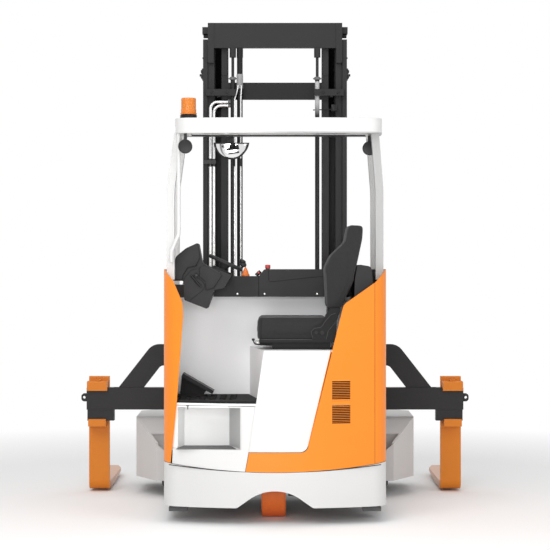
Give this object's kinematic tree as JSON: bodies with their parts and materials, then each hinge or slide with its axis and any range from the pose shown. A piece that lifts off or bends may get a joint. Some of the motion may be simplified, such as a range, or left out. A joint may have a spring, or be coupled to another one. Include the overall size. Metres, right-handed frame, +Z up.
{
  "type": "four-way reach truck",
  "caption": "Electric four-way reach truck with a side-seated cab, nested lifting mast, wide fork carriage and steered wheels under flared leg housings.",
  "frame": {"origin": "on the floor, under the middle of the truck's length and width", "axes": "+Z up; +Y forward, the way the fork blades point; +X to the right of someone who looks along +Y"},
  "size_m": [2.496, 2.605, 2.981],
  "materials": {
    "body_orange": "moulded orange panels, satin",
    "body_white": "white paint",
    "mast_dark": "anthracite paint",
    "chassis_grey": "dark grey paint",
    "liner_grey": "light grey lining",
    "black_plastic": "moulded black plastic",
    "mat_rubber": "ribbed mat",
    "seat_fabric": "woven black fabric",
    "fork_orange": "orange paint, worn at the blades",
    "drive_tyre": "orange-red polyurethane",
    "load_tyre": "dark polyurethane",
    "cast_iron": "cast, machined",
    "bright_steel": "ground rod",
    "lens_orange": "clear orange lens",
    "mirror_glass": "black frame with a mirror",
    "steel_case": "dark steel battery case"
  },
  "bodies": {
    "root": {"armrest_cover": "black_plastic", "battery": "steel_case", "battery_cover": "body_orange", "battery_doors": "body_orange", "beacon_base": "black_plastic", "beacon_lens": "lens_orange", "cab_mirror": "mirror_glass", "cabin_liner": "liner_grey", "chassis_frame": "chassis_grey", "console_controls": "black_plastic", "console_shelf": "black_plastic", "corner_panel_left": "body_orange", "drive_motor": "cast_iron", "floor_mat": "mat_rubber", "grab_handle": "body_white", "leg_housing_left": "body_white", "leg_housing_right": "body_white", "overhead_guard": "body_white", "pedal_unit": "black_plastic", "pedestal_panel": "body_white", "rear_skirt": "body_white", "roof_bars": "mast_dark", "seat_backrest": "seat_fabric", "seat_base": "black_plastic", "seat_cushion": "seat_fabric", "side_panel_right": "body_orange", "stabilizer_pads": "cast_iron", "steering_console": "black_plastic", "step_box": "body_white", "work_lamps": "black_plastic"},
    "steer_unit": {"drive_gearbox": "cast_iron"},
    "drive_wheel": {"drive_wheel": "drive_tyre"},
    "load_yoke_right": {"load_yoke_right": "cast_iron"},
    "load_yoke_left": {"load_yoke_left": "cast_iron"},
    "load_wheel_right": {"load_wheel_right": "load_tyre"},
    "load_wheel_left": {"load_wheel_left": "load_tyre"},
    "steering_wheel": {"steering_wheel": "black_plastic"},
    "mast_base": {"reach_carriage": "mast_dark", "outer_mast": "mast_dark", "lift_cylinders": "mast_dark", "pressure_pipes": "bright_steel"},
    "middle_stage": {"middle_mast": "mast_dark", "lift_rods": "bright_steel", "hose_tube": "mast_dark"},
    "inner_stage": {"inner_mast": "mast_dark", "free_lift_cylinder": "mast_dark"},
    "free_rod": {"free_lift_rod": "bright_steel"},
    "carriage": {"fork_carriage": "mast_dark", "carriage_brace": "mast_dark", "carriage_side_plates": "mast_dark", "fork_left": "fork_orange", "fork_right": "fork_orange"}
  },
  "joints": [
    {"name": "drive_steer", "type": "hinge", "parent": "root", "child": "steer_unit", "pos_m": [0, -0.89, 0.38], "axis": [0, 0, 1], "range_deg": [-90, 90]},
    {"name": "drive_roll", "type": "hinge", "parent": "steer_unit", "child": "drive_wheel", "pos_m": [-0.008, -0.89, 0.18], "axis": [1, 0, 0], "continuous": true},
    {"name": "steering_wheel_turn", "type": "hinge", "parent": "root", "child": "steering_wheel", "pos_m": [-0.289, -0.88, 1.4775], "axis": [0.4099, 0, 0.9121], "continuous": true},
    {"name": "mast_reach", "type": "slide", "parent": "root", "child": "mast_base", "axis": [0, 1, 0], "range_m": [0, 0.58]},
    {"name": "mast_lift", "type": "slide", "parent": "mast_base", "child": "middle_stage", "axis": [0, 0, 1], "range_m": [0, 2]},
    {"name": "inner_lift", "type": "slide", "parent": "middle_stage", "child": "inner_stage", "axis": [0, 0, 1], "range_m": [0, 2]},
    {"name": "carriage_lift", "type": "slide", "parent": "inner_stage", "child": "carriage", "axis": [0, 0, 1], "range_m": [0, 1.9]},
    {"name": "free_rod_lift", "type": "slide", "parent": "inner_stage", "child": "free_rod", "axis": [0, 0, 1], "range_m": [0, 0.95]},
    {"name": "load_steer_right", "type": "hinge", "parent": "root", "child": "load_yoke_right", "pos_m": [0.69, 0.56, 0.38], "axis": [0, 0, 1], "range_deg": [-90, 90]},
    {"name": "load_roll_right", "type": "hinge", "parent": "load_yoke_right", "child": "load_wheel_right", "pos_m": [0.69, 0.56, 0.155], "axis": [1, 0, 0], "continuous": true},
    {"name": "load_steer_left", "type": "hinge", "parent": "root", "child": "load_yoke_left", "pos_m": [-0.69, 0.56, 0.38], "axis": [0, 0, 1], "range_deg": [-90, 90]},
    {"name": "load_roll_left", "type": "hinge", "parent": "load_yoke_left", "child": "load_wheel_left", "pos_m": [-0.69, 0.56, 0.155], "axis": [1, 0, 0], "continuous": true}
  ],
  "couplings": [
    {"joint": "inner_lift", "follows": "mast_lift", "ratio": 1},
    {"joint": "free_rod_lift", "follows": "carriage_lift", "ratio": 0.5}
  ]
}
